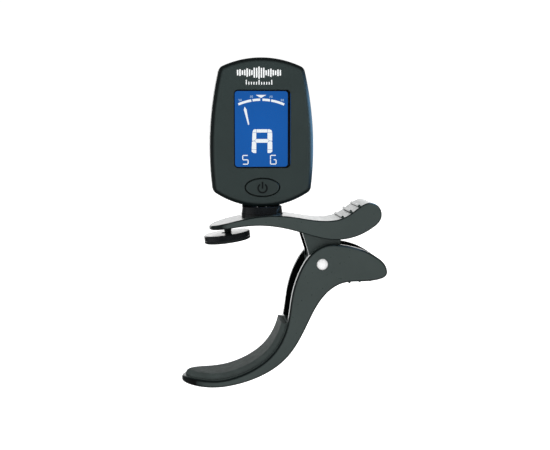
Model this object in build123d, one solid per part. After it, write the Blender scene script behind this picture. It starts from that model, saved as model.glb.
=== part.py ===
"""Clip-on tuner: a battery tuner head on a swivel ball neck, carried by a sprung C-shaped clip.

Millimetres. The origin is the centre of the foot pad's contact face. +X runs back along the arm to
the handles, +Y goes away from the display's reader, and +Z points up towards the head.
"""

import math
import os

from build123d import *

# Driving dimensions of the clip
ARM_WIDTH = 17.4
HALF_ARM = ARM_WIDTH / 2
ARM_EDGE = 0.5
ARM_RIB_INSET = 1.8
JAW_EDGE = 0.8
JAW_END_LENGTH = 15.0
JAW_RIM = 1.7
JAW_PAD_PROUD = 1.9
JAW_PAD_ROUND = 1.6
PAD_END_LENGTH = JAW_END_LENGTH - 1.3
JAW_WALL = 2.45
CHANNEL_HALF = HALF_ARM - JAW_WALL
JAW_FLOOR = 2.2
WEB_HALF = CHANNEL_HALF - 0.25
CHEEK_WALL = 1.2
PIVOT_X, PIVOT_Z = 32.2, -7.8
PIN_RADIUS = 1.5
PIN_RUNNING = 0.05
PIN_HEAD_RADIUS = 1.95
PIN_RECESS = 0.75
WIRE_RADIUS = 0.5
COIL_RADIUS = 2.35
COIL_LENGTH = 5.0

# Neck and foot
NECK_X = 12.0
BALL_Z = 10.5
BALL_RADIUS = 2.0
BALL_CLEARANCE = 0.03
SEAT_TOP = 9.6
COLLAR_TOP = 12.05
COLLAR_RADIUS = 7.25
SEAT_RADIUS = 7.35
BOSS_RADIUS = 3.2
FOOT_RADIUS = 8.2
FOOT_TILT = 7.5
PAD_THICKNESS = 0.9
DISC_THICKNESS = 1.95
FOOT_BALL_RADIUS = 1.25
FOOT_BALL_HEIGHT = 1.55

# Head
HEAD_X = NECK_X - 0.35
HEAD_BOTTOM = 12.15
HEAD_TOP = 62.8
TOP_ARCH, FLOOR_ARCH = 32.3, 28.8
HEAD_FRONT, HEAD_SEAM, HEAD_BACK = -6.3, 0.5, 6.3
HEAD_HALF_WIDTH, HEAD_WIDEST_Z = 17.75, 32.5
SHELL_WALL = 1.5
FRONT_ROUND = 2.0
REAR_ROUND = 3.2
CORNER_ROUND = 2.6
SCREEN_HALF_WIDTH = 9.2
SCREEN_LOW, SCREEN_HIGH = 25.9, 51.5
WINDOW_RECESS = 0.5
WINDOW_THICKNESS = 0.8
LCD_FRONT = HEAD_FRONT + WINDOW_RECESS + WINDOW_THICKNESS + 0.05
LCD_BACK = LCD_FRONT + 1.5
BUTTON_Z = 18.9
BUTTON_HALF_WIDTH, BUTTON_HALF_HEIGHT = 5.85, 3.05
BUTTON_GAP = 0.3
BUTTON_TRAVEL = 0.3
BATTERY_RADIUS, BATTERY_THICKNESS = 10.0, 3.2
BATTERY_Z = 37.0
CAP_RADIUS = 11.6
CELL_BACK = HEAD_BACK - 2.25
CELL_FRONT = CELL_BACK - BATTERY_THICKNESS
BOARD_FRONT, BOARD_BACK = -1.0, -0.2
GUIDE_BACK = BOARD_FRONT - 0.1
SENSOR_Z = 21.0
SCREW_SPOTS = [(-11.6, 56.0), (11.6, 56.0), (-13.4, 21.0), (13.4, 21.0)]


# ---------------------------------------------------------------- helpers


def slab(sketch, y_low, y_high):
    """A sketch drawn in X and Z, given thickness from y_low to y_high."""
    return extrude(Plane.XZ.offset(-y_high) * sketch, amount=y_high - y_low)


def column(sketch, z_low, z_high):
    """A sketch drawn in X and Y, given height from z_low to z_high."""
    return extrude(Plane.XY.offset(z_low) * sketch, amount=z_high - z_low)


def polygon(points):
    return make_face(Polyline(points, close=True))


def turned(points, axis_x=0.0):
    """A solid of revolution about the vertical line at axis_x; points are (radius, z)."""
    profile = make_face(Polyline([(axis_x + r, 0, z) for r, z in points], close=True))
    return revolve(profile, axis=Axis((axis_x, 0, 0), (0, 0, 1)))


def rod(x, z, radius, y_low, y_high):
    return slab(Pos(x, z) * Circle(radius), y_low, y_high)


def block(x_range, y_range, z_range):
    size = [high - low for low, high in (x_range, y_range, z_range)]
    centre = [(high + low) / 2 for low, high in (x_range, y_range, z_range)]
    return Pos(*centre) * Box(*size)


def beside(curve, distance, first, last, count):
    """A spline that runs beside part of a curve, distance to its left, from fraction first to last."""
    points = []
    for i in range(count):
        u = first + (last - first) * i / (count - 1)
        at, along = curve.position_at(u), curve.tangent_at(u)
        points.append((at.X - distance * along.Y, at.Y + distance * along.X))
    return Spline(points)


def closed_face(*curves):
    """A face whose rim is the curves in order, joined end to end by straight lines."""
    edges = []
    for i, curve in enumerate(curves):
        edges.append(curve)
        gap_start, gap_end = curve.position_at(1), curves[(i + 1) % len(curves)].position_at(0)
        if (gap_end - gap_start).length > 1e-6:
            edges.append(Line(gap_start, gap_end))
    return make_face(edges)


def curved_edges(solid):
    """A bar's long edges and those round its tip, without the straight lines across and up it."""
    return [edge for edge in solid.edges() if edge.geom_type != GeomType.LINE]


def round_ended(x_front, end_length, half_width, z_low, z_high, x_back=60.0):
    """An upright block with a half-oval front end in plan, for trimming a bar's tip."""
    middle = x_front + end_length
    plan = Pos((middle + x_back) / 2, 0) * Rectangle(x_back - middle, 2 * half_width)
    plan += Pos(middle, 0) * Ellipse(end_length, half_width)
    return column(plan, z_low, z_high)


# ---------------------------------------------------------------- clip


def arm_outline():
    """The arm's side view: one curve over the top, round the handle's end and back underneath."""
    rim = Spline(
        [(-7.5, 5.1), (1.8, 7.5), (11.7, 9.2), (20.8, 9.0), (34.1, 7.35), (39.4, 8.3), (44.7, 11.7),
         (48.4, 13.45), (51.8, 12.1), (52.8, 8.5), (49.1, 4.3), (43.5, 1.65), (38.1, 0.75),
         (31.4, 1.45), (23.5, 3.75), (13.6, 5.75), (6.7, 5.8), (-2.0, 4.65), (-7.5, 3.8)]
    )
    return closed_face(rim)


def arm_web():
    """The bracket under the arm that carries the pivot: hollow in front, slotted for the spring."""
    cheeks = polygon(
        [(24.9, 5.0), (27.75, -4.0), (28.1, -10.6), (31.3, -13.9), (32.85, -13.9), (32.85, -12.7),
         (36.5, -10.5), (37.1, -1.9), (38.9, -1.1), (39.1, 3.0)]
    )
    web = slab(cheeks, -WEB_HALF, WEB_HALF)
    hollow = polygon([(20.0, 6.0), (28.5, 6.0), (28.5, -6.0), (20.0, -9.0)])
    web -= slab(hollow, -WEB_HALF + CHEEK_WALL, WEB_HALF - CHEEK_WALL)
    slot = polygon([(29.25, -1.0), (29.25, -15.0), (41.0, -15.0), (41.0, -4.2), (35.4, -4.2), (33.0, -1.0)])
    web -= slab(slot, -COIL_LENGTH / 2 - 1.1, COIL_LENGTH / 2 + 1.1)
    return web - rod(PIVOT_X, PIVOT_Z, PIN_RADIUS + PIN_RUNNING, -HALF_ARM, HALF_ARM)


def upper_arm():
    bar = slab(arm_outline(), -HALF_ARM, HALF_ARM)
    bar &= round_ended(-6.5, 7.2, HALF_ARM, -5.0, 20.0)
    bar = fillet(curved_edges(bar), ARM_EDGE)
    for x, z in [(39.4, 8.45), (42.3, 10.4), (45.2, 12.25)]:
        bar += rod(x, z, 0.5, -HALF_ARM + ARM_RIB_INSET, HALF_ARM - ARM_RIB_INSET)
    bar += arm_web()
    bar -= column(Pos(NECK_X, 0) * Circle(4.2), 7.2, 12.0)
    bar -= column(Pos(NECK_X, 0) * Circle(4.7), 4.0, 7.2)
    bar -= turned([(0, 4.0), (1.5, 4.0), (1.5, 6.4), (0, 6.4)])
    return bar


def foot_stud():
    """The tapered post under the arm's tip, ending in the ball that the foot rocks on."""
    post = turned([(0, 6.4), (1.5, 6.4), (1.5, 5.2), (1.2, 3.3), (0.95, 2.4), (0.85, 1.6), (0, 1.6)])
    return post + Pos(0, 0, FOOT_BALL_HEIGHT) * Sphere(FOOT_BALL_RADIUS)


def foot_placed(solid):
    """Turns a foot piece, drawn level, about the centre of its contact face."""
    return Rotation(0, -FOOT_TILT, 0) * solid


def foot_disc():
    low, high = PAD_THICKNESS, PAD_THICKNESS + DISC_THICKNESS
    edge = 0.35
    disc = turned(
        [(0, low), (FOOT_RADIUS - 0.15, low), (FOOT_RADIUS, low + 0.15), (FOOT_RADIUS, high - edge),
         (FOOT_RADIUS - edge, high), (0, high)]
    )
    disc -= turned([(0, 1.2), (1.2, 1.9), (2.1, high + 0.1), (0, high + 0.1)])
    disc = foot_placed(disc)
    return disc - Pos(0, 0, FOOT_BALL_HEIGHT) * Sphere(FOOT_BALL_RADIUS + BALL_CLEARANCE)


def foot_pad():
    pad = turned(
        [(0, 0), (FOOT_RADIUS - 0.4, 0), (FOOT_RADIUS - 0.15, 0.25), (FOOT_RADIUS - 0.15, PAD_THICKNESS),
         (0, PAD_THICKNESS)]
    )
    pad = foot_placed(pad)
    return pad - Pos(0, 0, FOOT_BALL_HEIGHT) * Sphere(FOOT_BALL_RADIUS + BALL_CLEARANCE)


def jaw_outline():
    """The jaw's side view: up the gripping side, over the pivot, round the handle and back outside."""
    return Spline(
        [(-18.0, -47.7), (-11.0, -47.8), (-5.6, -48.1), (5.5, -45.6), (15.45, -38.5), (20.0, -29.1),
         (21.7, -18.5), (24.5, -9.9), (28.4, -4.1), (33.6, -1.1), (39.8, -1.25), (46.9, -3.1),
         (51.2, -5.45), (54.5, -8.6), (54.95, -11.8), (51.2, -13.65), (45.4, -14.05), (39.3, -14.6),
         (34.35, -17.5), (27.1, -28.9), (19.5, -41.0), (7.95, -48.0), (-6.2, -50.55), (-12.5, -50.25),
         (-18.0, -49.4)]
    )


def pad_band(inner, outer, half_width, tip_x):
    """The strip that follows the gripping side, from the channel's end to near the tip."""
    rim = jaw_outline()
    lower = beside(rim, inner, 0.0, 0.24, 9)
    upper = beside(rim, outer, 0.24, 0.0, 9)
    band = slab(closed_face(lower, upper), -half_width, half_width)
    band &= round_ended(tip_x, PAD_END_LENGTH, half_width, -60.0, 0.0)
    above = polygon([(10.0, -23.9), (18.4, -27.1), (23.0, -28.5), (40.0, -28.5), (40.0, 0.0)])
    return band - slab(above, -HALF_ARM, HALF_ARM)


def lower_jaw():
    rim = jaw_outline()
    jaw = slab(closed_face(rim), -HALF_ARM, HALF_ARM)
    jaw &= round_ended(-16.6, JAW_END_LENGTH, HALF_ARM, -60.0, 5.0)
    jaw = fillet(curved_edges(jaw), JAW_EDGE)
    floor = beside(rim, -JAW_FLOOR, 0.56, 0.735, 9)
    channel = closed_face(floor, Polyline([(19.0, -27.3), (10.0, -20.0), (20.0, 10.0), (49.5, 10.0)]))
    jaw -= slab(channel, -CHANNEL_HALF, CHANNEL_HALF)
    jaw -= pad_band(-0.8, 2.0, HALF_ARM - JAW_RIM, -15.3)
    stop_rib = block((33.0, 34.1), (-CHANNEL_HALF, CHANNEL_HALF), (-16.2, -13.0))
    jaw += stop_rib
    for x, z in [(41.9, -14.25), (45.5, -13.95), (49.2, -13.75)]:
        jaw += rod(x, z, 0.4, -HALF_ARM + 1.0, HALF_ARM - 1.0)
    jaw -= rod(PIVOT_X, PIVOT_Z, PIN_RADIUS, -HALF_ARM, HALF_ARM)
    for outer, inner in ((-HALF_ARM, -HALF_ARM + PIN_RECESS), (HALF_ARM - PIN_RECESS, HALF_ARM)):
        jaw -= rod(PIVOT_X, PIVOT_Z, PIN_HEAD_RADIUS + 0.1, outer, inner)
    return jaw


def jaw_pad():
    pad = pad_band(-0.8, JAW_PAD_PROUD, HALF_ARM - JAW_RIM - 0.1, -15.2)
    upward = [face for face in pad.faces() if face.normal_at().Z > 0.3]
    gripping = max(upward, key=lambda face: face.area)
    return fillet(curved_edges(gripping), JAW_PAD_ROUND)


def pivot_pin():
    """A rivet pin with a domed head in the near wall's recess."""
    seat = -HALF_ARM + PIN_RECESS
    crown, dome_radius = seat - 0.65, 5.0
    head = rod(PIVOT_X, PIVOT_Z, PIN_HEAD_RADIUS, crown, seat)
    head &= Pos(PIVOT_X, crown + dome_radius, PIVOT_Z) * Sphere(dome_radius)
    return head + rod(PIVOT_X, PIVOT_Z, PIN_RADIUS, seat, HALF_ARM - 0.15)


def pin_retainer():
    ring = Circle(PIN_HEAD_RADIUS) - Circle(PIN_RADIUS)
    return slab(Pos(PIVOT_X, PIVOT_Z) * ring, HALF_ARM - PIN_RECESS, HALF_ARM - PIN_RECESS + 0.45)


def torsion_spring():
    """A coil round the pin: one leg stands against the web, the other lies along the handle."""
    turns = 4 + 86.5 / 360
    start = Plane(origin=(PIVOT_X, COIL_LENGTH / 2, PIVOT_Z), x_dir=(-1, 0, 0), z_dir=(0, -1, 0))
    coil = start * Helix(pitch=COIL_LENGTH / turns, height=COIL_LENGTH, radius=COIL_RADIUS)
    section = Plane(origin=coil @ 0, z_dir=coil % 0) * Circle(WIRE_RADIUS)
    spring = sweep(section, path=coil, is_frenet=True)
    slope = math.radians(-3.5)
    for foot, direction, length in (
        (coil @ 0, Vector(0, 0, 1), 6.0),
        (coil @ 1, Vector(math.cos(slope), 0, math.sin(slope)), 11.6),
    ):
        leg_start = foot - direction * 0.2
        leg = Plane(origin=leg_start, z_dir=direction) * Circle(WIRE_RADIUS - 0.05)
        spring += extrude(leg, amount=length)
    return spring


# ---------------------------------------------------------------- neck


def collar_seat(arm):
    """The fixed bearing ring: it fills the arm's hole and its underside follows the arm's top."""
    ring = turned(
        [(BOSS_RADIUS + PIN_RUNNING, 7.2), (SEAT_RADIUS, 7.2), (SEAT_RADIUS, SEAT_TOP),
         (BOSS_RADIUS + PIN_RUNNING, SEAT_TOP)],
        NECK_X,
    )
    return ring - arm


def swivel_collar():
    lip, dish_floor = 11.55, 11.2
    lip_radius = math.sqrt(BALL_RADIUS**2 - (lip - BALL_Z) ** 2) + 0.04
    low = SEAT_TOP + 0.05
    collar = turned(
        [(0, 7.15), (BOSS_RADIUS, 7.15), (BOSS_RADIUS, low), (COLLAR_RADIUS, low),
         (COLLAR_RADIUS, low + 0.35), (COLLAR_RADIUS - 0.25, COLLAR_TOP - 0.2),
         (COLLAR_RADIUS - 0.45, COLLAR_TOP), (COLLAR_RADIUS - 1.3, COLLAR_TOP), (5.3, dish_floor),
         (3.2, dish_floor), (lip_radius + 0.7, lip), (0, lip)],
        NECK_X,
    )
    collar -= turned([(0, 7.0), (2.25, 7.0), (2.25, BALL_Z), (0, BALL_Z)], NECK_X)
    collar -= turned([(0, BALL_Z), (lip_radius, BALL_Z), (lip_radius, lip + 0.1), (0, lip + 0.1)], NECK_X)
    return collar - Pos(NECK_X, 0, BALL_Z) * Sphere(BALL_RADIUS + BALL_CLEARANCE)


def friction_cup():
    cup = turned([(0, 8.3), (2.2, 8.3), (2.2, 9.9), (0, 9.9)], NECK_X)
    return cup - Pos(NECK_X, 0, BALL_Z) * Sphere(BALL_RADIUS + BALL_CLEARANCE)


def friction_washer():
    return turned([(0.9, 8.12), (2.15, 8.0), (2.15, 8.16), (0.9, 8.28)], NECK_X)


def swivel_screw():
    screw = turned(
        [(0, 6.35), (4.2, 6.35), (4.4, 6.55), (4.4, 7.15), (2.25, 7.15), (2.25, 7.8), (2.05, 8.0), (0, 8.0)],
        NECK_X,
    )
    slot = block((NECK_X - 3.0, NECK_X + 3.0), (-0.4, 0.4), (6.0, 6.8))
    return screw - slot


def ball_stud():
    """The ball under the head, its neck through the head's floor and its flange inside."""
    stem = turned(
        [(0, BALL_Z), (0.85, BALL_Z), (0.85, HEAD_BOTTOM - 0.1), (1.6, HEAD_BOTTOM + 0.2), (1.6, 14.6),
         (3.0, 14.6), (3.0, 15.8), (0, 15.8)],
        NECK_X,
    )
    return stem + Pos(NECK_X, 0, BALL_Z) * Sphere(BALL_RADIUS)


# ---------------------------------------------------------------- head shells


def head_outline(inset=0.0):
    """The barrel-shaped face: arched top and floor, bulging sides and rounded corners."""
    top_arch = Pos(HEAD_X, HEAD_TOP - TOP_ARCH) * Circle(TOP_ARCH)
    floor_arch = Pos(HEAD_X, HEAD_BOTTOM + FLOOR_ARCH) * Circle(FLOOR_ARCH)
    half_points = [(12.6, 66.0), (HEAD_HALF_WIDTH, HEAD_WIDEST_Z), (15.65, 10.0)]
    right = ThreePointArc(*[(HEAD_X + dx, z) for dx, z in half_points])
    left = ThreePointArc(*[(HEAD_X - dx, z) for dx, z in reversed(half_points)])
    face = top_arch & floor_arch & closed_face(right, left)
    face = fillet(face.vertices(), CORNER_ROUND)
    if inset:
        face = offset(face, -inset)
    return face


def rounded_rectangle(x, z, width, height, radius):
    return Pos(x, z) * RectangleRounded(width, height, radius)


def screen_sketch(margin, radius):
    width = 2 * (SCREEN_HALF_WIDTH + margin)
    height = SCREEN_HIGH - SCREEN_LOW + 2 * margin
    return rounded_rectangle(HEAD_X, (SCREEN_LOW + SCREEN_HIGH) / 2, width, height, radius)


def button_sketch(margin):
    return Pos(HEAD_X, BUTTON_Z) * Ellipse(BUTTON_HALF_WIDTH + margin, BUTTON_HALF_HEIGHT + margin)


def front_shell():
    body = slab(head_outline(), HEAD_FRONT, HEAD_SEAM)
    body = fillet(body.faces().sort_by(Axis.Y)[0].edges(), FRONT_ROUND)
    cavity = slab(head_outline(SHELL_WALL), HEAD_FRONT + SHELL_WALL, HEAD_SEAM + 1)
    body -= cavity
    window_seat = HEAD_FRONT + WINDOW_RECESS
    body -= slab(screen_sketch(0.45, 1.5), HEAD_FRONT - 1, window_seat)
    body -= slab(screen_sketch(0.1, 1.2), window_seat, window_seat + WINDOW_THICKNESS + 1.0)
    body -= slab(screen_sketch(1.3, 1.6), window_seat, HEAD_FRONT + SHELL_WALL)
    body -= slab(button_sketch(BUTTON_GAP), HEAD_FRONT - 1, HEAD_FRONT + SHELL_WALL + 1)
    for dx, z in SCREW_SPOTS:
        boss = slab(Pos(HEAD_X + dx, z) * Circle(1.9), HEAD_FRONT + SHELL_WALL, HEAD_SEAM)
        body += boss & slab(head_outline(0.8), HEAD_FRONT, HEAD_SEAM)
        body -= slab(Pos(HEAD_X + dx, z) * Circle(0.85), -4.0, HEAD_SEAM)
    return body - stud_socket()


def stud_socket():
    """The room in the head's floor for the ball stud's stem and flange."""
    low = HEAD_BOTTOM - 0.5
    return turned([(0, low), (1.6, low), (1.6, 14.6), (3.0, 14.6), (3.0, 15.8), (0, 15.8)], NECK_X)


def cap_lugs(radius, y_low, y_high, extra=0.0, turn=0.0):
    """Three short bayonet lugs under the battery cap's rim."""
    lugs = []
    for i in range(3):
        angle = 90 + 120 * i + turn
        lug = Rotation(0, 0, angle) * (Pos(radius / 2, 0) * Rectangle(radius, 4.0 + 2 * extra))
        lugs.append(slab(Pos(HEAD_X, BATTERY_Z) * (lug & Circle(radius)), y_low, y_high))
    return lugs


def rear_shell():
    body = slab(head_outline(), HEAD_SEAM, HEAD_BACK)
    body = fillet(body.faces().sort_by(Axis.Y)[-1].edges(), REAR_ROUND)
    body -= slab(head_outline(SHELL_WALL), HEAD_SEAM - 1, HEAD_BACK - 3.2)
    body -= slab(head_outline(3.4), HEAD_SEAM - 1, HEAD_BACK - SHELL_WALL)
    body -= slab(Pos(HEAD_X, BATTERY_Z) * Circle(CAP_RADIUS + 0.15), HEAD_BACK - 2.0, HEAD_BACK + 1)
    for notch in cap_lugs(12.8, HEAD_BACK - 2.0, HEAD_BACK + 1, extra=0.2, turn=30):
        body -= notch
    for dx, z in SCREW_SPOTS:
        post = Pos(HEAD_X + dx, z) * Circle(2.3)
        body += slab(post, HEAD_SEAM, HEAD_BACK - 1.0) & slab(head_outline(0.8), HEAD_SEAM, HEAD_BACK)
        body -= slab(Pos(HEAD_X + dx, z) * Circle(0.95), HEAD_SEAM, HEAD_BACK)
        body -= slab(Pos(HEAD_X + dx, z) * Circle(1.75), HEAD_BACK - 3.4, HEAD_BACK + 1)
    return body - stud_socket()


def case_screws():
    """Four small self-tapping screws, all alike, that hold the two shells together."""
    screws = []
    head_low = HEAD_BACK - 3.4
    slot_depth = (head_low + 0.6, head_low + 2.0)
    for dx, z in SCREW_SPOTS:
        x = HEAD_X + dx
        screw = rod(x, z, 1.6, head_low, head_low + 1.1) + rod(x, z, 0.85, -3.6, head_low)
        for half_x, half_z in ((1.0, 0.2), (0.2, 1.0)):
            screw -= block((x - half_x, x + half_x), slot_depth, (z - half_z, z + half_z))
        screws.append(screw)
    return Compound(children=screws)


# ---------------------------------------------------------------- display and button


def display_window():
    low = HEAD_FRONT + WINDOW_RECESS
    return slab(screen_sketch(1.2, 1.5), low, low + WINDOW_THICKNESS)


def lcd_panel():
    """Two glasses: the front one is shorter and leaves a contact ledge at the lower edge."""
    x_range = (HEAD_X - SCREEN_HALF_WIDTH - 0.6, HEAD_X + SCREEN_HALF_WIDTH + 0.6)
    middle = LCD_FRONT + 0.75
    front = block(x_range, (LCD_FRONT, middle), (SCREEN_LOW - 0.6, SCREEN_HIGH + 0.6))
    back = block(x_range, (middle, LCD_BACK), (SCREEN_LOW - 2.2, SCREEN_HIGH + 0.6))
    return front + back


def lcd_frame():
    """The moulded tray that holds the glass and the light guide off the board."""
    half = SCREEN_HALF_WIDTH + 1.5
    tall = (SCREEN_LOW - 3.0, SCREEN_HIGH + 1.5)
    tray = block((HEAD_X - half, HEAD_X + half), (LCD_FRONT + 0.2, GUIDE_BACK), tall)
    pocket_half = SCREEN_HALF_WIDTH + 0.65
    pocket_tall = (SCREEN_LOW - 2.3, SCREEN_HIGH + 0.65)
    return tray - block((HEAD_X - pocket_half, HEAD_X + pocket_half), (LCD_FRONT, 0.0), pocket_tall)


def light_guide():
    half = SCREEN_HALF_WIDTH + 0.5
    tall = (SCREEN_LOW + 0.7, SCREEN_HIGH - 1.0)
    return block((HEAD_X - half, HEAD_X + half), (LCD_BACK + 0.05, GUIDE_BACK), tall)


def backlight_leds():
    lamps = []
    for dx in (-5.0, 5.0):
        x = HEAD_X + dx
        z = SCREEN_HIGH - 0.95
        lamps.append(block((x - 1.4, x + 1.4), (LCD_BACK + 0.3, BOARD_FRONT), (z, z + 1.2)))
    return Compound(children=lamps)


def elastomer_connector():
    z = SCREEN_LOW - 2.2
    return block((HEAD_X - 8.6, HEAD_X + 8.6), (LCD_BACK, BOARD_FRONT), (z + 0.1, z + 1.8))


def power_button():
    """An oval cap with a retaining flange behind the face and a post that reaches the switch."""
    cap = slab(button_sketch(0.0), HEAD_FRONT - 0.15, HEAD_FRONT + SHELL_WALL + 0.1)
    cap = fillet(cap.faces().sort_by(Axis.Y)[0].edges(), 0.3)
    flange_low = HEAD_FRONT + SHELL_WALL + 0.05
    cap += slab(button_sketch(0.8), flange_low, flange_low + 0.7)
    cap += rod(HEAD_X, BUTTON_Z, 1.3, flange_low, -3.0)
    return cap


def switch_plunger():
    return rod(HEAD_X, BUTTON_Z, 0.9, -3.0, -2.2)


def tact_switch():
    body = block((HEAD_X - 2.25, HEAD_X + 2.25), (-2.6, BOARD_FRONT), (BUTTON_Z - 2.25, BUTTON_Z + 2.25))
    return body - rod(HEAD_X, BUTTON_Z, 1.0, -3.0, -1.6)


# ---------------------------------------------------------------- board, battery and sensor


def circuit_board():
    board = slab(head_outline(SHELL_WALL + 0.4), BOARD_FRONT, BOARD_BACK)
    for dx, z in SCREW_SPOTS:
        board -= slab(Pos(HEAD_X + dx, z) * Circle(2.1), BOARD_FRONT - 1, BOARD_BACK + 1)
    keep = block((HEAD_X - 17, HEAD_X + 17), (-2, 2), (16.4, 62.0))
    return board & keep


def control_chip():
    body = block((HEAD_X - 9.0, HEAD_X - 2.0), (BOARD_BACK, BOARD_BACK + 0.9), (50.6, 57.6))
    return chamfer(body.faces().sort_by(Axis.Y)[-1].edges(), 0.15)


def quartz_crystal():
    """A small drawn can that lies upright against the board."""
    standing = Cylinder(1.0, 6.0, align=(Align.CENTER, Align.CENTER, Align.MIN))
    return Pos(HEAD_X + 3.6, BOARD_BACK + 1.05, 51.4) * standing


def chip_components():
    """Small resistors and capacitors, all of one case size, on the board's rear face."""
    spots = [(2.2, 59.2), (5.2, 59.2), (-4.5, 59.4), (7.6, 54.6), (7.6, 52.4)]
    spots += [(-13.0, 47.0), (13.0, 47.0), (-13.2, 28.0)]
    chips = []
    for dx, z in spots:
        x = HEAD_X + dx
        chips.append(block((x - 0.8, x + 0.8), (BOARD_BACK, BOARD_BACK + 0.5), (z - 0.4, z + 0.4)))
    return Compound(children=chips)


def coin_battery():
    """A coin cell: its wide can faces the cap and its smaller lid faces the board."""
    can = rod(HEAD_X, BATTERY_Z, BATTERY_RADIUS, CELL_FRONT + 0.35, CELL_BACK)
    can = fillet(can.edges().filter_by(GeomType.CIRCLE), 0.3)
    return can + rod(HEAD_X, BATTERY_Z, BATTERY_RADIUS - 1.2, CELL_FRONT, CELL_FRONT + 0.5)


def battery_negative_contact():
    """A flat spring leaf between the board and the cell's lid."""
    top = BOARD_BACK + 0.2
    plate = block((HEAD_X - 2.0, HEAD_X + 2.0), (BOARD_BACK, top), (BATTERY_Z - 8.0, BATTERY_Z + 6.0))
    bump = block((HEAD_X - 1.5, HEAD_X + 1.5), (top, CELL_FRONT), (BATTERY_Z - 3.0, BATTERY_Z + 3.0))
    return plate + bump


def battery_positive_contact():
    """A clip that stands on the board and bears on the side of the cell's can."""
    x = HEAD_X + BATTERY_RADIUS + 0.05
    blade = block((x, x + 0.3), (BOARD_BACK, HEAD_BACK - 2.6), (BATTERY_Z - 3.0, BATTERY_Z + 3.0))
    tab = block((x, x + 2.2), (BOARD_BACK, BOARD_BACK + 0.3), (BATTERY_Z - 3.0, BATTERY_Z + 3.0))
    return blade + tab


def battery_cap():
    """A round coin-slot cap that locks with three bayonet lugs behind the rear wall."""
    inner = HEAD_BACK - 2.15
    cap = rod(HEAD_X, BATTERY_Z, CAP_RADIUS, HEAD_BACK - 1.45, HEAD_BACK)
    cap = chamfer(cap.faces().sort_by(Axis.Y)[-1].edges(), 0.3)
    for lug in cap_lugs(12.6, inner, HEAD_BACK - SHELL_WALL - 0.05):
        cap += lug
    cap += rod(HEAD_X, BATTERY_Z, CAP_RADIUS - 1.0, inner, HEAD_BACK - 1.0)
    depth, tall = (HEAD_BACK - 0.8, HEAD_BACK + 1), (BATTERY_Z - 0.9, BATTERY_Z + 0.9)
    return cap - block((HEAD_X - 5.5, HEAD_X + 5.5), depth, tall)


def piezo_plate():
    return rod(HEAD_X, SENSOR_Z, 4.8, HEAD_BACK - SHELL_WALL - 0.3, HEAD_BACK - SHELL_WALL)


def piezo_ceramic():
    return rod(HEAD_X, SENSOR_Z, 3.6, HEAD_BACK - SHELL_WALL - 0.5, HEAD_BACK - SHELL_WALL - 0.3)


def piezo_leads():
    """Two short insulated wires from the sensor to the board."""
    wires = []
    for dx, start in ((-2.0, HEAD_BACK - SHELL_WALL - 0.5), (4.2, HEAD_BACK - SHELL_WALL - 0.3)):
        x, landing = HEAD_X + dx, SENSOR_Z + 4.0
        bends = [(x, start - 2.2, SENSOR_Z), (x, BOARD_BACK + 1.4, landing)]
        path = FilletPolyline((x, start, SENSOR_Z), *bends, (x, BOARD_BACK, landing), radius=0.8)
        section = Plane(origin=(x, start, SENSOR_Z), z_dir=(0, -1, 0)) * Circle(0.35)
        wires.append(sweep(section, path=path))
    return Compound(children=wires)


# ---------------------------------------------------------------- write every piece

os.makedirs("parts", exist_ok=True)
arm = upper_arm()
pieces = {
    "upper_arm": arm,
    "foot_stud": foot_stud(),
    "foot_disc": foot_disc(),
    "foot_pad": foot_pad(),
    "lower_jaw": lower_jaw(),
    "jaw_pad": jaw_pad(),
    "pivot_pin": pivot_pin(),
    "pin_retainer": pin_retainer(),
    "torsion_spring": torsion_spring(),
    "collar_seat": collar_seat(arm),
    "swivel_collar": swivel_collar(),
    "friction_cup": friction_cup(),
    "friction_washer": friction_washer(),
    "swivel_screw": swivel_screw(),
    "ball_stud": ball_stud(),
    "front_shell": front_shell(),
    "rear_shell": rear_shell(),
    "case_screws": case_screws(),
    "display_window": display_window(),
    "lcd_panel": lcd_panel(),
    "lcd_frame": lcd_frame(),
    "light_guide": light_guide(),
    "backlight_leds": backlight_leds(),
    "elastomer_connector": elastomer_connector(),
    "power_button": power_button(),
    "switch_plunger": switch_plunger(),
    "tact_switch": tact_switch(),
    "circuit_board": circuit_board(),
    "control_chip": control_chip(),
    "quartz_crystal": quartz_crystal(),
    "chip_components": chip_components(),
    "coin_battery": coin_battery(),
    "battery_negative_contact": battery_negative_contact(),
    "battery_positive_contact": battery_positive_contact(),
    "battery_cap": battery_cap(),
    "piezo_plate": piezo_plate(),
    "piezo_ceramic": piezo_ceramic(),
    "piezo_leads": piezo_leads(),
}
for name, solid in pieces.items():
    export_step(solid, f"parts/{name}.step")
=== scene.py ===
"""Looks of the clip-on tuner: materials, the lit display's figures, printed marks, light and camera.

Everything is in metres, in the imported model's own frame: +X to the handles, +Y away from the reader,
+Z up. Small figures are drawn in millimetres and scaled where their mesh is made.
"""

import math

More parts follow.
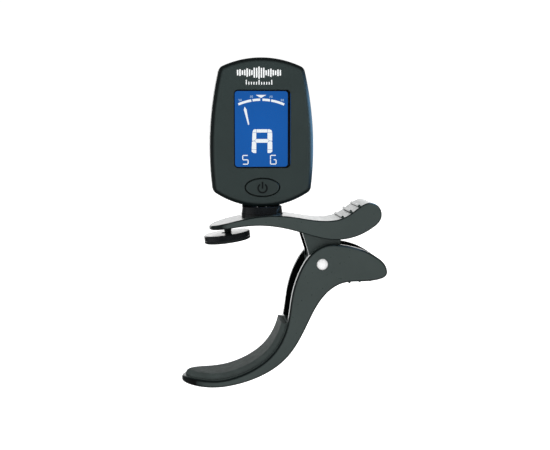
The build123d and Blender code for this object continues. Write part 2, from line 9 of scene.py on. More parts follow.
import bmesh
import bpy
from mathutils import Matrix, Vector


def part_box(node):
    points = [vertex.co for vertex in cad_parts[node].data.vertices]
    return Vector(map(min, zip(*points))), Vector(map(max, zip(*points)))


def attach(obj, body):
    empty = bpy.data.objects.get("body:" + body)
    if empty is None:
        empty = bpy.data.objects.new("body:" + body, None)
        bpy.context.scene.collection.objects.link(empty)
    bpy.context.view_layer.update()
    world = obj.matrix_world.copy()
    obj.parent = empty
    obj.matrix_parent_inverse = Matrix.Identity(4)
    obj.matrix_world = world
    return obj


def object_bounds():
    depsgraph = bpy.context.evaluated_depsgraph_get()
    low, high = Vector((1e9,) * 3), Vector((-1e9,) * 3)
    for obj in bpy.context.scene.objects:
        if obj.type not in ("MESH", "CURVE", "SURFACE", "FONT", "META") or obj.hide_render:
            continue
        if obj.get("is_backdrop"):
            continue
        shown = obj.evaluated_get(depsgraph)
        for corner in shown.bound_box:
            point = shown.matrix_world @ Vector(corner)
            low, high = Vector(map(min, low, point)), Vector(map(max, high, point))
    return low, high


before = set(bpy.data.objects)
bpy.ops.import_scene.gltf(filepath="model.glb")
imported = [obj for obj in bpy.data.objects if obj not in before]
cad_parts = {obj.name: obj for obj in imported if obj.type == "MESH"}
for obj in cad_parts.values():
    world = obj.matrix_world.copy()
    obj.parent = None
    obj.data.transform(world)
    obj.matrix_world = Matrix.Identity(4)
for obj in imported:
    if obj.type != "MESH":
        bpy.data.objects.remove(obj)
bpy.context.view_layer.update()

MM = 0.001

WHITE = (1.0, 1.0, 1.0)
SLATE = (0.025, 0.037, 0.0355)
SLATE_CLIP = (0.042, 0.055, 0.0525)
# Painted shade, nearly black, that darkens the rounded edges of the satin plastic.
PAINTED_EDGE_SHADE = (0.003, 0.006, 0.006)
# Painted shade, nearly black, on the inner walls of the arm's hollow and the jaw's channel.
PAINTED_HOLLOW_SHADE = (0.0008, 0.0012, 0.0012)
DEEP_BLACK = (0.004, 0.005, 0.006)
INK_BLACK = (0.003, 0.004, 0.004)
INK_WHITE = (0.86, 0.88, 0.88)
LCD_BLUE = (0.0075, 0.105, 0.41)
FIGURE_WHITE = (0.95, 0.98, 1.0)

# Half widths, with a little to spare, of the jaw's channel and of the arm's hollow, inside which painted
# shade blackens the inner walls.
JAW_HOLLOW = 0.0064
ARM_HOLLOW = 0.0052


# ---------------------------------------------------------------- node helpers


def rgba(color):
    return (*color, 1.0)


def scaled(color, amount):
    return tuple(min(1.0, channel * amount) for channel in color)


class Tree:
    """A short way to add nodes to the tree of a material or a world, and to join them."""

    def __init__(self, owner):
        owner.use_nodes = True
        self.nodes = owner.node_tree.nodes
        self.links = owner.node_tree.links

    def add(self, kind, **settings):
        node = self.nodes.new(kind)
        for key, value in settings.items():
            setattr(node, key, value)
        return node

    def plug(self, value, socket):
        """Links another node's output to the socket, or gives the socket a plain value."""
        if hasattr(value, "is_output"):
            self.links.new(value, socket)
        else:
            socket.default_value = value

    def ramp(self, value, low, high, to_low, to_high):
        """Maps low...high to to_low...to_high, and holds the end values beyond."""
        node = self.add("ShaderNodeMapRange", clamp=True)
        self.plug(value, node.inputs["Value"])
        numbers = ("From Min", low), ("From Max", high), ("To Min", to_low), ("To Max", to_high)
        for name, number in numbers:
            node.inputs[name].default_value = number
        return node.outputs["Result"]

    def math(self, operation, a, b=0.0):
        node = self.add("ShaderNodeMath", operation=operation)
        self.plug(a, node.inputs[0])
        self.plug(b, node.inputs[1])
        return node.outputs["Value"]

    def along(self, output, axis):
        """One axis of a texture coordinate, such as "Object" or the object-space "Normal"."""
        parts = self.add("ShaderNodeSeparateXYZ")
        self.plug(self.add("ShaderNodeTexCoord").outputs[output], parts.inputs["Vector"])
        return parts.outputs[axis]


class Shader(Tree):
    """One material, whose nodes all lead to a single Principled shader."""

    def __init__(self, name):
        self.material = bpy.data.materials.new(name)
        super().__init__(self.material)
        self.bsdf = self.nodes["Principled BSDF"]

    def set(self, **values):
        """Sets or links sockets of the Principled shader; Base_Color stands for Base Color."""
        for key, value in values.items():
            self.plug(value, self.bsdf.inputs[key.replace("_", " ")])

    def place(self):
        return self.add("ShaderNodeTexCoord").outputs["Object"]

    def stretched(self, x, y, z):
        """Object coordinates scaled by different amounts along each axis, for brushed grain."""
        node = self.add("ShaderNodeMapping")
        self.plug(self.place(), node.inputs["Vector"])
        node.inputs["Scale"].default_value = (x, y, z)
        return node.outputs["Vector"]

    def noise(self, scale, detail=3.0, vector=None):
        node = self.add("ShaderNodeTexNoise")
        self.plug(vector or self.place(), node.inputs["Vector"])
        node.inputs["Scale"].default_value = scale
        node.inputs["Detail"].default_value = detail
        return node.outputs["Fac"]

    def bands(self, direction, scale, distortion=0.0):
        node = self.add("ShaderNodeTexWave", wave_type="BANDS", bands_direction=direction)
        self.plug(self.place(), node.inputs["Vector"])
        node.inputs["Scale"].default_value = scale
        node.inputs["Distortion"].default_value = distortion
        return node.outputs["Fac"]

    def mix(self, share, a, b):
        """Colour a where share is 0 and colour b where it is 1."""
        node = self.add("ShaderNodeMix", data_type="RGBA")
        self.plug(share, node.inputs["Factor"])
        for value, socket in ((a, node.inputs["A"]), (b, node.inputs["B"])):
            self.plug(value if hasattr(value, "is_output") else rgba(value), socket)
        return node.outputs["Result"]

    def bump(self, height, strength, distance):
        node = self.add("ShaderNodeBump")
        self.plug(height, node.inputs["Height"])
        node.inputs["Strength"].default_value = strength
        node.inputs["Distance"].default_value = distance
        return node.outputs["Normal"]

    def edge_shade_mask(self):
        """Where painted shade darkens the rounded edges between the flat sides and the rims: 1 on those
        edges, 0 on both the sides and the rims.
        """
        turned = self.math("ABSOLUTE", self.along("Normal", "Y"))
        off_rim = self.ramp(turned, 0.06, 0.22, 0.0, 1.0)
        off_side = self.ramp(turned, 0.86, 0.99, 1.0, 0.0)
        return self.math("MULTIPLY", off_rim, off_side)

    def hollow_shade_mask(self, half_width):
        """Where painted shade blackens a hollow's inner walls: 1 on faces that look sideways from within
        half_width of the middle plane, 0 elsewhere.
        """
        off_middle = self.math("ABSOLUTE", self.along("Object", "Y"))
        inside = self.ramp(off_middle, half_width, half_width * 1.02, 1.0, 0.0)
        turned = self.math("ABSOLUTE", self.along("Normal", "Y"))
        sideways = self.ramp(turned, 0.5, 0.8, 0.0, 1.0)
        return self.math("MULTIPLY", inside, sideways)


# ---------------------------------------------------------------- materials


def moulded_plastic(name, color, roughness=0.36, shade_within=None):
    """Satin moulded plastic: fine spark-eroded grain, slight mottling, and painted shade that darkens the
    rounded edges.

    The last argument is the half width of a hollow whose inner walls get nearly black painted shade.
    """
    s = Shader(name)
    mottling = s.ramp(s.noise(90.0), 0.3, 0.7, 0.0, 1.0)
    mottled = s.mix(mottling, scaled(color, 0.95), scaled(color, 1.05))
    # Painted shade darkens the rounded edges.
    tone_and_painted_shade = s.mix(s.edge_shade_mask(), mottled, PAINTED_EDGE_SHADE)
    # Painted shade blackens the inner walls of the hollow.
    if shade_within:
        tone_and_painted_shade = s.mix(s.hollow_shade_mask(shade_within), tone_and_painted_shade, PAINTED_HOLLOW_SHADE)
    worn = s.ramp(s.noise(900.0, 4.0), 0.3, 0.7, roughness - 0.03, roughness + 0.05)
    grain = s.bump(s.noise(1500.0, 1.0), 0.25, 0.000008)
    s.set(Base_Color=tone_and_painted_shade, Roughness=worn, Normal=grain, Specular_IOR_Level=0.35)
    return s.material


def gloss_plastic(name, color, roughness=0.06, dull_top=0.0):
    """Polished plastic with a faint orange peel and a few dull rubbed patches.

    dull_top, from 0 to 1, roughens the faces that look up and takes that share off their clear coat.
    """
    s = Shader(name)
    upward = s.ramp(s.along("Normal", "Z"), 0.3, 0.6, 0.0, dull_top)
    rubbed = s.ramp(s.noise(420.0, 5.0), 0.45, 0.8, roughness, roughness + 0.08)
    coat = s.math("MULTIPLY", s.math("SUBTRACT", 1.0, upward), 0.3)
    s.set(Base_Color=s.mix(s.noise(140.0), scaled(color, 0.85), scaled(color, 1.2)))
    s.set(Roughness=s.math("MAXIMUM", rubbed, upward), Coat_Weight=coat, Coat_Roughness=0.03)
    s.set(Normal=s.bump(s.noise(700.0, 1.0), 0.06, 0.00002))
    return s.material


def soft_rubber(name, color):
    """Matt rubber with a fine even grain and a dusty bloom."""
    s = Shader(name)
    bloom = s.ramp(s.noise(260.0, 5.0), 0.42, 0.75, 0.0, 1.0)
    s.set(Base_Color=s.mix(bloom, color, scaled(color, 1.25)))
    s.set(Roughness=s.ramp(s.noise(800.0), 0.3, 0.7, 0.55, 0.7))
    s.set(Normal=s.bump(s.noise(3600.0, 1.0), 0.25, 0.00001), Specular_IOR_Level=0.08)
    return s.material


def metal(name, color, roughness, grain=(1.0, 1.0, 1.0), bump=0.08, metallic=1.0):
    """Metal with drawn or turned grain, which is finest along the axis with the largest grain number."""
    s = Shader(name)
    streaks = s.noise(1500.0, 4.0, s.stretched(*grain))
    s.set(Base_Color=s.mix(streaks, scaled(color, 0.88), scaled(color, 1.06)), Metallic=metallic)
    s.set(Roughness=s.ramp(streaks, 0.3, 0.7, roughness * 0.75, roughness * 1.3))
    s.set(Normal=s.bump(streaks, bump, 0.000005))
    return s.material


def clear_window(name):
    """The display's clear acrylic cover, with hardly visible upright wipe marks."""
    s = Shader(name)
    wiped = s.noise(300.0, 5.0, s.stretched(1.0, 1.0, 0.25))
    s.set(Base_Color=rgba((0.97, 0.985, 1.0)), Transmission_Weight=1.0, IOR=1.46)
    s.set(Roughness=s.ramp(wiped, 0.5, 0.8, 0.0, 0.03), Specular_IOR_Level=0.08)
    return s.material


def lit_display(name, color):
    """The backlit field: brightest at its middle, with the faint grain of the diffusing film."""
    s = Shader(name)
    low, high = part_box("lcd_panel")
    from_middle = s.add("ShaderNodeVectorMath", operation="DISTANCE")
    s.plug(s.place(), from_middle.inputs[0])
    from_middle.inputs[1].default_value = ((low.x + high.x) / 2, low.y, (low.z + high.z) / 2)
    glow = s.ramp(from_middle.outputs["Value"], 0.0, 0.018, 1.04, 0.90)
    field = s.mix(s.noise(2400.0, 1.0), scaled(color, 0.97), scaled(color, 1.03))
    s.set(Base_Color=rgba((0.002, 0.005, 0.015)), Emission_Color=field, Emission_Strength=glow)
    s.set(Roughness=0.6, Specular_IOR_Level=0.0)
    return s.material


def lit_figure(name, color, strength):
    """A display segment, lamp or light guide that glows almost evenly."""
    s = Shader(name)
    glow = s.ramp(s.noise(800.0), 0.2, 0.8, strength * 0.97, strength)
    s.set(Base_Color=rgba((0.02, 0.02, 0.02)), Roughness=0.6, Specular_IOR_Level=0.0)
    s.set(Emission_Color=rgba(color), Emission_Strength=glow)
    return s.material


def even_matt(name, color):
    """Printed ink, or a matt ceramic or plastic: slightly uneven in colour and gloss."""
    s = Shader(name)
    s.set(Base_Color=s.mix(s.noise(1800.0, 4.0), scaled(color, 0.9), color))
    s.set(Roughness=s.ramp(s.noise(2500.0), 0.3, 0.7, 0.5, 0.7), Specular_IOR_Level=0.2)
    return s.material


def board_mask(name):
    """Green solder mask over faint copper tracks."""
    s = Shader(name)
    tracks = s.bands("DIAGONAL", 420.0, 2.5)
    share = s.ramp(tracks, 0.55, 0.7, 0.0, 1.0)
    s.set(Base_Color=s.mix(share, (0.01, 0.10, 0.035), (0.02, 0.17, 0.06)))
    s.set(Roughness=s.ramp(s.noise(900.0), 0.3, 0.7, 0.25, 0.4))
    s.set(Normal=s.bump(tracks, 0.2, 0.00002))
    return s.material


def banded_rubber(name):
    """The elastomer connector's alternate conducting and insulating bands."""
    s = Shader(name)
    s.set(Base_Color=s.mix(s.bands("X", 1600.0), (0.02, 0.02, 0.02), (0.75, 0.45, 0.5)))
    s.set(Roughness=0.6)
    return s.material


def finishes():
    """Every finished material, each with the CAD nodes that wear it."""
    return (
        (moulded_plastic("head_case", SLATE), ["front_shell", "rear_shell", "battery_cap"]),
        (moulded_plastic("arm_case", SLATE_CLIP, 0.30, ARM_HOLLOW), ["upper_arm"]),
        (moulded_plastic("jaw_case", SLATE_CLIP, 0.30, JAW_HOLLOW), ["lower_jaw"]),
        (moulded_plastic("button_cap", scaled(SLATE, 0.95), 0.38), ["power_button"]),
        (gloss_plastic("gloss_black", DEEP_BLACK, dull_top=0.33), ["foot_disc"]),
        (gloss_plastic("collar_black", DEEP_BLACK, dull_top=1.0), ["swivel_collar", "collar_seat"]),
        (gloss_plastic("stud_black", (0.012, 0.016, 0.016), 0.2), ["foot_stud"]),
        (soft_rubber("pad_rubber", (0.040, 0.050, 0.048)), ["jaw_pad"]),
        (soft_rubber("foot_rubber", (0.010, 0.012, 0.012)), ["foot_pad"]),
        (metal("satin_pin", (0.95, 0.95, 0.95), 0.18, bump=0.03, metallic=0.15), ["pivot_pin"]),
        (metal("spring_steel", (0.50, 0.50, 0.52), 0.28, (1.0, 6.0, 1.0)),
         ["torsion_spring", "friction_washer", "pin_retainer", "ball_stud"]),
        (metal("zinc_plate", (0.20, 0.205, 0.21), 0.30), ["swivel_screw", "case_screws"]),
        (metal("nickel_plate", (0.66, 0.64, 0.58), 0.25),
         ["coin_battery", "battery_negative_contact", "battery_positive_contact"]),
        (metal("can_steel", (0.70, 0.70, 0.71), 0.2, (1.0, 1.0, 5.0)), ["quartz_crystal", "tact_switch"]),
        (metal("sensor_brass", (0.72, 0.52, 0.22), 0.25), ["piezo_plate"]),
        (even_matt("natural_nylon", (0.72, 0.70, 0.64)), ["friction_cup"]),
        (even_matt("sensor_ceramic", (0.82, 0.80, 0.74)), ["piezo_ceramic"]),
        (even_matt("white_tray", (0.80, 0.80, 0.78)), ["lcd_frame"]),
        (even_matt("red_insulation", (0.45, 0.02, 0.02)), ["piezo_leads"]),
        (even_matt("chip_black", (0.02, 0.02, 0.022)), ["control_chip", "switch_plunger"]),
        (even_matt("chip_ceramic", (0.30, 0.24, 0.17)), ["chip_components"]),
        (clear_window("display_cover"), ["display_window"]),
        (lit_display("display_blue", LCD_BLUE), ["lcd_panel"]),
        (lit_figure("guide_glow", (0.55, 0.75, 1.0), 0.3), ["light_guide"]),
        (lit_figure("lamp_glow", (0.8, 0.9, 1.0), 1.0), ["backlight_leds"]),
        (board_mask("board_green"), ["circuit_board"]),
        (banded_rubber("zebra_bands"), ["elastomer_connector"]),
    )


def paint_nodes():
    """Gives every CAD node its finished material."""
    for material, names in finishes():
        for name in names:
            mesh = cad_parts[name].data
            mesh.materials.clear()
            mesh.materials.append(material)


SHARP_ANGLE = math.radians(32)


def smooth_nodes():
    """Curved faces of the CAD nodes shade smoothly and keep their real corners."""
    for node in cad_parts.values():
        node.data.shade_smooth()
        node.data.set_sharp_from_angle(angle=SHARP_ANGLE)


# ---------------------------------------------------------------- flat figures


class Figures:
    """Thin prisms drawn in a plane that faces the reader, in millimetres from a centre (x, z)."""

    def __init__(self, name, centre, front, thickness, material, body="head"):
        self.name = name
        self.centre = centre
        self.front = front
        self.thickness = thickness
        self.material = material
        self.body = body
        self.mesh = bmesh.new()

    def polygon(self, points):
        """One closed prism over the outline."""
        rings = []
        for depth in (self.front, self.front + self.thickness):
            ring = [(self.centre[0] + x, depth, self.centre[1] + z) for x, z in points]
            rings.append([self.mesh.verts.new(Vector(p) * MM) for p in ring])
        near, far = rings
        self.mesh.faces.new(near)
        self.mesh.faces.new(list(reversed(far)))
        for i in range(len(points)):
            j = (i + 1) % len(points)
            self.mesh.faces.new((near[j], near[i], far[i], far[j]))

    def rectangle(self, left, low, right, high):
        self.polygon([(left, low), (right, low), (right, high), (left, high)])

    def bar(self, start, end, width):
        """A straight bar with pointed ends, as display segments have."""
        a, b = Vector(start), Vector(end)
        along = (b - a).normalized()
        across = Vector((-along.y, along.x)) * width / 2
        tip = along * width / 2
        self.polygon([a, a + tip - across, b - tip - across, b, b - tip + across, a + tip + across])

    def arc(self, middle, radius, width, first, last, steps=24):
        """A band of a circle from angle first to last, in degrees anticlockwise from +X."""
        angles = [math.radians(first + (last - first) * i / steps) for i in range(steps + 1)]
        outer = [around(middle, radius, angle) for angle in angles]
        inner = [around(middle, radius - width, angle) for angle in reversed(angles)]
        self.polygon(outer + inner)

    def digit(self, low_left, size, stroke, segments):
        """A seven-segment figure, its segments lettered a to g clockwise from the top as usual."""
        left, right = low_left[0] + stroke / 2, low_left[0] + size[0] - stroke / 2
        low, high = low_left[1] + stroke / 2, low_left[1] + size[1] - stroke / 2
        half = (low + high) / 2
        ends = {
            "a": ((left, high), (right, high)),
            "b": ((right, half), (right, high)),
            "c": ((right, low), (right, half)),
            "d": ((left, low), (right, low)),
            "e": ((left, low), (left, half)),
            "f": ((left, half), (left, high)),
            "g": ((left, half), (right, half)),
        }
        for segment in segments:
            self.bar(*ends[segment], stroke)

    def make(self):
        """Turns the prisms into one piece that rides on its body."""
        mesh = bpy.data.meshes.new(self.name)
        bmesh.ops.recalc_face_normals(self.mesh, faces=self.mesh.faces)
        self.mesh.to_mesh(mesh)
        self.mesh.free()
        mesh.materials.append(self.material)
        piece = bpy.data.objects.new(self.name, mesh)
        bpy.context.scene.collection.objects.link(piece)
        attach(piece, self.body)


def around(middle, radius, angle):
    """The point at radius and angle round a middle (x, z)."""
    return (middle[0] + radius * math.cos(angle), middle[1] + radius * math.sin(angle))


def middle_of(low, high):
    """The middle (x, z) of a box, in millimetres."""
    return ((low.x + high.x) / 2 / MM, (low.z + high.z) / 2 / MM)


# ---------------------------------------------------------------- the display

# The lit field's middle lies this far left of its window's middle.
SCREEN_SHIFT = 0.25
FIGURE_DEPTH = 0.03
SEGMENTS = {"0": "abcdef", "2": "abged", "5": "afgcd", "G": "afedc"}

SCALE_MIDDLE = (0.0, -9.9)
SCALE_RADIUS = 20.2
SCALE_WIDTH = 0.78
SCALE_BANDS = ((66.8, 80.3), (81.4, 88.9), (91.1, 98.6), (99.9, 113.2))
SCALE_NUMBERS = ((-7.2, 9.75, "50"), (-3.35, 10.9, "20"), (3.3, 10.9, "20"), (7.15, 9.75, "50"))

# The note letter: the seams between its segments, the inner edges of its legs, and its heights.
LETTER_SEAM = 0.1
LETTER_INSIDE = (-1.75, 2.1)
LETTER_TOP = -0.05
BAR_LOW = -1.15
CROSSBAR_HIGH = -3.35
CROSSBAR_POINT = -3.95
CROSSBAR_LOW = -4.6
LETTER_FOOT = -6.9
LETTER_LOW = -8.1

# Half the lit field's width and height inside the printed border, and the rounding of its corners.
FIELD_HALF = (9.02, 12.78)
FIELD_ROUNDING = 1.0


def screen_centre():
    """The middle of the lit field."""
    x, z = middle_of(*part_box("display_window"))
    return (x - SCREEN_SHIFT, z)


def display_figures(name, material):
    """Figures that stand on the front of the lit panel."""
    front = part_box("lcd_panel")[0].y / MM
    return Figures(name, screen_centre(), front - FIGURE_DEPTH, FIGURE_DEPTH, material)


def tuning_scale(lit):
    """An arc in four lit bands, with a pointer over its middle."""
    scale = display_figures("display_scale", lit)
    for first, last in SCALE_BANDS:
        scale.arc(SCALE_MIDDLE, SCALE_RADIUS, SCALE_WIDTH, first, last)
    scale.polygon([(-0.1, 10.45), (1.7, 11.5), (-1.9, 11.5)])
    scale.make()


def scale_numbers(dim):
    """The numbers over the scale, each of two small figures."""
    size = (0.44, 0.74)
    pitch = 0.58
    stroke = 0.14
    numbers = display_figures("display_numbers", dim)
    for x, z, number in SCALE_NUMBERS:
        left = x - (pitch + size[0]) / 2
        for i, character in enumerate(number):
            numbers.digit((left + i * pitch, z - size[1] / 2), size, stroke, SEGMENTS[character])
    numbers.make()


def scale_needle(lit):
    """The needle under the scale, left of the middle and leaning outward."""
    needle = display_figures("display_needle", lit)
    needle.polygon([(-4.5, 1.4), (-4.12, 1.6), (-5.05, 6.7), (-5.7, 7.55), (-5.95, 6.5)])
    needle.make()


def big_letter(figures):
    """The note letter A, built of the display's own segments with hairline seams between them."""
    left, right = LETTER_INSIDE
    figures.rectangle(left + LETTER_SEAM, BAR_LOW, right - LETTER_SEAM, LETTER_TOP)
    figures.polygon([(left, CROSSBAR_LOW), (right, CROSSBAR_LOW), (right + 0.5, CROSSBAR_POINT),
                     (right, CROSSBAR_HIGH), (left, CROSSBAR_HIGH), (left - 0.5, CROSSBAR_POINT)])
    letter_leg(figures, -1, left, -3.35, 0.3)
    letter_leg(figures, 1, right, 3.75, -0.05)


def letter_leg(figures, side, inner, outer, lean):
    """One leg of the big letter: its corner, its upper and lower segments and its end.

    side is -1 for the left leg and 1 for the right. inner and outer are the leg's two edges at its
    foot, and lean is how far the outer edge has moved to the right at its top.
    """
    top_edge = outer + lean
    upper_edge = outer + lean * 0.6
    lower_edge = outer + lean * 0.4
    foot_edge = outer + lean * 0.1
    knee = inner + side * 0.62
    corner = [(inner, BAR_LOW), (inner, LETTER_TOP), (inner + side * 0.6, LETTER_TOP),
              (top_edge - side * 0.25, LETTER_TOP - 0.3), (top_edge, BAR_LOW)]
    upper = [(inner, BAR_LOW - LETTER_SEAM), (top_edge, BAR_LOW - LETTER_SEAM), (upper_edge, -3.9),
             (upper_edge - side * 0.2, -4.0), (knee, -3.88), (inner, CROSSBAR_HIGH + LETTER_SEAM)]
    lower = [(inner, CROSSBAR_LOW - LETTER_SEAM), (knee, -4.05), (lower_edge - side * 0.2, -4.15),
             (lower_edge, -4.4), (foot_edge, LETTER_FOOT), (inner, LETTER_FOOT)]
    end = [(inner, LETTER_FOOT - LETTER_SEAM), (foot_edge, LETTER_FOOT - LETTER_SEAM),
           (outer, LETTER_LOW + 0.5), (outer - side * 0.6, LETTER_LOW + 0.02), (inner, LETTER_LOW)]
    for outline in (corner, upper, lower, end):
        figures.polygon(outline)


def note_letters():
    """The large note letter, and below it the small string number and its note with a dash."""
    stroke = 0.33
    low = -12.05
    height = 3.3
    letters = display_figures("display_letters", lit_figure("letter_white", FIGURE_WHITE, 1.0))
    big_letter(letters)
    letters.digit((-6.55, low), (2.15, height), stroke, SEGMENTS["5"])
    letters.digit((2.95, low), (2.25, height), stroke, SEGMENTS["G"])
    letters.bar((4.15, low + height / 2), (5.05, low + height / 2), stroke)
    letters.make()


def display_mask():
    """The black border printed round the display's lit field, on the back of the window."""
    low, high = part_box("display_window")
    thickness = 0.012
    side_margin = 0.5
    end_margin = 0.2
    ink = even_matt("mask_ink", DEEP_BLACK)
    mask = Figures("display_mask", screen_centre(), high.y / MM, thickness, ink)
    inner_x, inner_z = FIELD_HALF
    outer_x = (high.x - low.x) / 2 / MM - side_margin
    outer_z = (high.z - low.z) / 2 / MM - end_margin
    quarter = [math.radians(15 * i) for i in range(7)]
    for side in (-1, 1):
        mask.rectangle(side * inner_x, -outer_z, side * outer_x, outer_z)
        mask.rectangle(-inner_x, side * inner_z, inner_x, side * outer_z)
        for level in (-1, 1):
            x = side * (inner_x - FIELD_ROUNDING)
            z = level * (inner_z - FIELD_ROUNDING)
            curve = [around((0.0, 0.0), FIELD_ROUNDING, angle) for angle in quarter]
            corner = [(x + side * across, z + level * up) for across, up in curve]
            mask.polygon([(side * inner_x, level * inner_z)] + corner)
    mask.make()


# ---------------------------------------------------------------- marks on the case

# How far printed marks stand proud of their face, and how thick they are with what is sunk in it.
PRINT_PROUD = 0.03
BUTTON_PRINT = 0.05
CASE_PRINT = 0.04


def power_mark():
    """The stand-by sign on the button: a ring open at the top with a short upright stroke."""
    low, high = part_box("power_button")
    front = low.y / MM - PRINT_PROUD
    ink = even_matt("mark_black", INK_BLACK)
    mark = Figures("power_mark", middle_of(low, high), front, BUTTON_PRINT, ink, "button")
    ring_middle = (0.0, -0.25)
    half_gap = 32
    mark.arc(ring_middle, 1.78, 0.52, 90 + half_gap, 450 - half_gap, 48)
    mark.rectangle(-0.25, -0.4, 0.25, 1.95)
    mark.make()


def seam_rib():
    """The parting-line rib under the head that shuts the sight line over the neck collar."""
    low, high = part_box("front_shell")
    half_thickness = 0.2
    half_length = 6.6
    centre = (middle_of(low, high)[0], low.z / MM)
    black = gloss_plastic("rib_black", DEEP_BLACK)
    rib = Figures("seam_rib", centre, -half_thickness, 2 * half_thickness, black)
    rib.rectangle(-half_length, -0.05, half_length, 0.75)
    rib.make()


def face_print():
    """A generic printed mark above the display: a row of sound bars over a small tick scale."""
    low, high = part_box("front_shell")
    left_shift = 1.1
    centre = (middle_of(low, high)[0] - left_shift, 0.0)
    front = low.y / MM - PRINT_PROUD
    marks = Figures("face_print", centre, front, CASE_PRINT, even_matt("print_white", INK_WHITE))
    sound_bars(marks)
    tick_scale(marks)
    marks.make()


def sound_bars(marks):
    """Nineteen upright bars whose heights swell and die away to both sides of a full middle one."""
    pitch = 0.8
    width = 0.48
    middle = 57.55
    for i in range(-9, 10):
        swell = abs(math.sin(i * 0.95)) * math.exp(-abs(i) / 9.0)
        half = 0.5 + 1.5 * (1.0 if i == 0 else swell)
        x = i * pitch
        marks.rectangle(x - width / 2, middle - half, x + width / 2, middle + half)


def tick_scale(marks):
    """Eleven ticks on one line, the middle and the two end ones long."""
    pitch = 0.86
    width = 0.34
    low = 53.6
    for i in range(-5, 6):
        height = 1.6 if i % 5 == 0 else 0.9
        x = i * pitch
        marks.rectangle(x - width / 2, low, x + width / 2, low + height)


# ---------------------------------------------------------------- floor and light

FLOOR_HALF = 6.0
FLOOR_GLOW = 0.62
# The opened jaw reaches this far below the closed one.
OPEN_JAW_REACH = 0.012

# What soft light, gloss and the eye each get from the world.
SOFT_LEVEL = 0.66
DARK_ROOM = 0.08
BACK_WALL = 2.5
SIDE_PANEL = 0.15
SEEN_LEVEL = 1.05

BLUE_LIGHT = (0.3, 0.62, 1.0)


def pale_floor():
    """A plain pale floor, low enough to clear the jaw's tip when the clip is squeezed open."""
    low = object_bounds()[0]
    s = Shader("pale_floor")
    s.set(Base_Color=s.mix(s.noise(3.0), (0.90, 0.90, 0.90), (0.93, 0.93, 0.93)), Roughness=0.9)
    s.set(Emission_Color=rgba(WHITE), Emission_Strength=FLOOR_GLOW)
    mesh = bpy.data.meshes.new("floor")
    corners = [(x * FLOOR_HALF, y * FLOOR_HALF, 0) for x, y in ((-1, -1), (1, -1), (1, 1), (-1, 1))]
    mesh.from_pydata(corners, [], [(0, 1, 2, 3)])
    mesh.materials.append(s.material)
    floor = bpy.data.objects.new("floor", mesh)
    floor.location = (0, 0, low[2] - OPEN_JAW_REACH)
    floor.visible_glossy = False
    floor.visible_transmission = False
    bpy.context.scene.collection.objects.link(floor)
    floor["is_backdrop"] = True


def background(tree, color, strength):
    node = tree.add("ShaderNodeBackground")
    tree.plug(color, node.inputs["Color"])
    tree.plug(strength, node.inputs["Strength"])
    return node.outputs["Background"]


def blend(tree, share, first, second):
    """The first background where share is 0 and the second where it is 1."""
    node = tree.add("ShaderNodeMixShader")
    for value, socket in zip((share, first, second), node.inputs):
        tree.plug(value, socket)
    return node.outputs["Shader"]


def hill(tree, value, rise, fall):
    """0, then 1 between the end of rise and the start of fall, then 0 again."""
    rising = tree.ramp(value, *rise, 0.0, 1.0)
    falling = tree.ramp(value, *fall, 1.0, 0.0)
    return tree.math("MULTIPLY", rising, falling)


def mirrored_room(tree):
    """What gloss mirrors: a dark room with a bright wall behind the clip and a dim panel at its left."""
    x, y, z = (tree.along("Generated", axis) for axis in "XYZ")
    behind = tree.ramp(y, 0.1, 0.55, 0.0, BACK_WALL)
    not_aside = tree.ramp(tree.math("ABSOLUTE", x), 0.3, 0.6, 1.0, 0.0)
    level_with_clip = hill(tree, z, (-0.6, -0.3), (0.25, 0.6))
    wall = tree.math("MULTIPLY", behind, tree.math("MULTIPLY", not_aside, level_with_clip))

    # The bearing is in radians from the reader's side, and negative to the left.
    bearing = tree.math("ARCTAN2", x, tree.math("MULTIPLY", y, -1.0))
    at_left = hill(tree, bearing, (-2.0, -1.8), (-1.3, -0.6))
    panel_height = hill(tree, z, (-0.5, -0.3), (0.2, 0.5))
    panel = tree.math("MULTIPLY", tree.math("MULTIPLY", at_left, panel_height), SIDE_PANEL)
    return tree.math("ADD", tree.math("ADD", wall, DARK_ROOM), panel)


def studio_world():
    """A world that is white to the eye, gives even soft light, and is a dark room to gloss and glass."""
    world = bpy.data.worlds.new("studio")
    bpy.context.scene.world = world
    tree = Tree(world)
    tree.nodes.clear()
    rays = tree.add("ShaderNodeLightPath").outputs
    soft = background(tree, rgba(WHITE), SOFT_LEVEL)
    mirrored = background(tree, mirrored_room(tree), 1.0)
    seen = background(tree, rgba(WHITE), SEEN_LEVEL)
    by_gloss_or_glass = tree.math("MAXIMUM", rays["Is Glossy Ray"], rays["Is Transmission Ray"])
    unseen = blend(tree, by_gloss_or_glass, soft, mirrored)
    whole = blend(tree, rays["Is Camera Ray"], unseen, seen)
    tree.plug(whole, tree.add("ShaderNodeOutputWorld").inputs["Surface"])


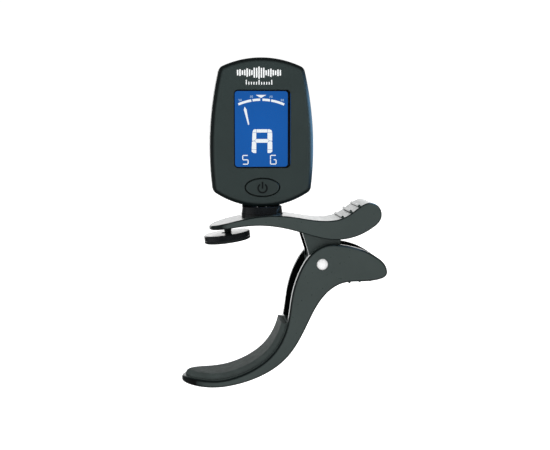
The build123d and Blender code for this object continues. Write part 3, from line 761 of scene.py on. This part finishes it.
def soft_light(name, place, target, size, power, color=WHITE):
    """A rectangular lamp that the camera doesn't see."""
    data = bpy.data.lights.new(name, "AREA")
    data.shape = "RECTANGLE"
    data.size, data.size_y = size
    data.energy = power
    data.color = color
    lamp = bpy.data.objects.new(name, data)
    lamp.location = place
    lamp.rotation_euler = (Vector(target) - Vector(place)).to_track_quat("-Z", "Y").to_euler()
    lamp.visible_camera = False
    bpy.context.scene.collection.objects.link(lamp)
    return lamp


def lights():
    """A near fill at the lower left, a broad top light, and a blue strip for the head's right rim."""
    fill = soft_light("near_fill", (-0.14, -0.24, -0.01), (0.015, 0.0, 0.02), (0.12, 0.12), 0.16)
    fill.visible_glossy = False
    top = soft_light("top", (0.1, 0.1, 1.0), (0.02, 0.0, 0.0), (1.4, 1.4), 7.0)
    top.visible_glossy = False
    rim_place = (0.062, -0.005, 0.041)
    rim_target = (0.029, -0.005, 0.041)
    rim = soft_light("blue_rim", rim_place, rim_target, (0.05, 0.038), 0.04, BLUE_LIGHT)
    rim.visible_diffuse = False


# ---------------------------------------------------------------- camera

LENS = 55.64
FILM_WIDTH = 36.0
CAMERA_PLACE = (-14.65 * MM, -295.0 * MM, 40.04 * MM)
# How far the camera's line of sight turns to the right of +Y, and how far below level.
CAMERA_TURN = math.radians(6.05)
CAMERA_DIP = math.radians(6.7)


def camera():
    """Level with the display, to the left of the clip, looking a little down and to the right."""
    data = bpy.data.cameras.new("camera")
    data.lens = LENS
    data.sensor_width = FILM_WIDTH
    data.clip_start = 0.01
    level = math.cos(CAMERA_DIP)
    look = Vector((math.sin(CAMERA_TURN) * level, math.cos(CAMERA_TURN) * level, -math.sin(CAMERA_DIP)))
    eye = bpy.data.objects.new("camera", data)
    eye.location = CAMERA_PLACE
    eye.rotation_euler = look.to_track_quat("-Z", "Y").to_euler()
    bpy.context.scene.collection.objects.link(eye)
    bpy.context.scene.camera = eye


# ---------------------------------------------------------------- make the picture

bpy.context.scene.view_settings.view_transform = "Standard"
smooth_nodes()
paint_nodes()
figure_white = lit_figure("figure_white", FIGURE_WHITE, 1.0)
tuning_scale(figure_white)
scale_numbers(lit_figure("figure_dim", (0.55, 0.75, 0.95), 0.8))
scale_needle(figure_white)
note_letters()
display_mask()
power_mark()
seam_rib()
face_print()
pale_floor()
studio_world()
lights()
camera()
